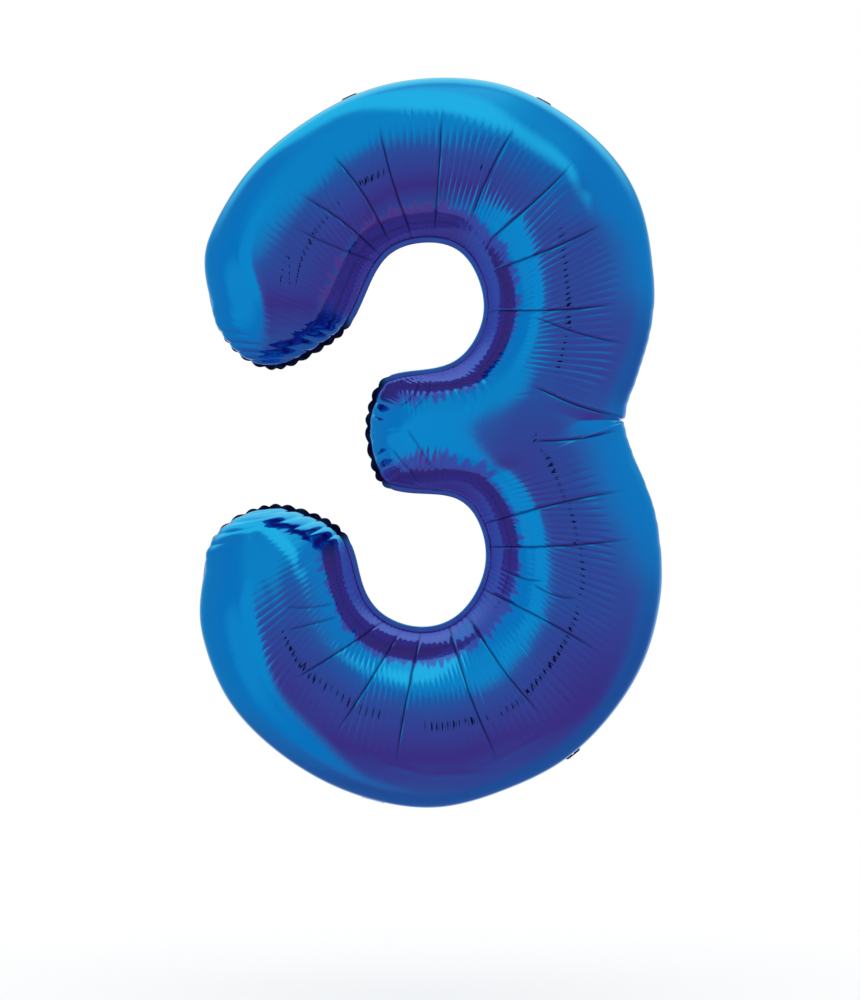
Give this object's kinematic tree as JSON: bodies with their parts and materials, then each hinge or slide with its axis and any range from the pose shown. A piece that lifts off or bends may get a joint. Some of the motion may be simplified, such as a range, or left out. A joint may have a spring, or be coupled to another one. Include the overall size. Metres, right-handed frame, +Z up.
{
  "type": "number foil balloon",
  "caption": "Inflated metallic blue foil balloon in the shape of a figure 3, with hanging tabs and a folded filling tail.",
  "frame": {"origin": "in the plane of the weld, midway between the two top hanging tabs, where the balloon is hung from", "axes": "+X to the right of the figure, +Y to its back, +Z up"},
  "size_m": [0.5447, 0.18, 0.8615],
  "materials": {
    "foil": "metallised blue film, mirror-bright",
    "valve_film": "clear thin film"
  },
  "bodies": {
    "balloon": {"front_foil_panel": "foil", "back_foil_panel": "foil", "valve_front_film": "valve_film", "valve_back_film": "valve_film"},
    "tail": {"tail_front_layer": "foil", "tail_back_layer": "foil"},
    "tab_top_left": {"hanging_tab_top_left": "foil"},
    "tab_top_right": {"hanging_tab_top_right": "foil"},
    "tab_bottom_right": {"hanging_tab_bottom_right": "foil"}
  },
  "joints": [
    {"name": "tail_fold", "type": "hinge", "parent": "balloon", "child": "tail", "pos_m": [-0.08808, 0, -0.82687], "axis": [-0.9657, 0, 0.2596], "range_deg": [0, 170]},
    {"name": "tab_fold_top_left", "type": "hinge", "parent": "balloon", "child": "tab_top_left", "pos_m": [-0.11374, 0, 0.00854], "axis": [0.9143, 0, 0.405], "range_deg": [-60, 60]},
    {"name": "tab_fold_top_right", "type": "hinge", "parent": "balloon", "child": "tab_top_right", "pos_m": [0.11377, 0, 0.0035], "axis": [0.8799, 0, -0.4752], "range_deg": [-60, 60]},
    {"name": "tab_fold_bottom_right", "type": "hinge", "parent": "balloon", "child": "tab_bottom_right", "pos_m": [0.14871, 0, -0.76727], "axis": [-0.7824, 0, -0.6228], "range_deg": [-60, 60]}
  ]
}
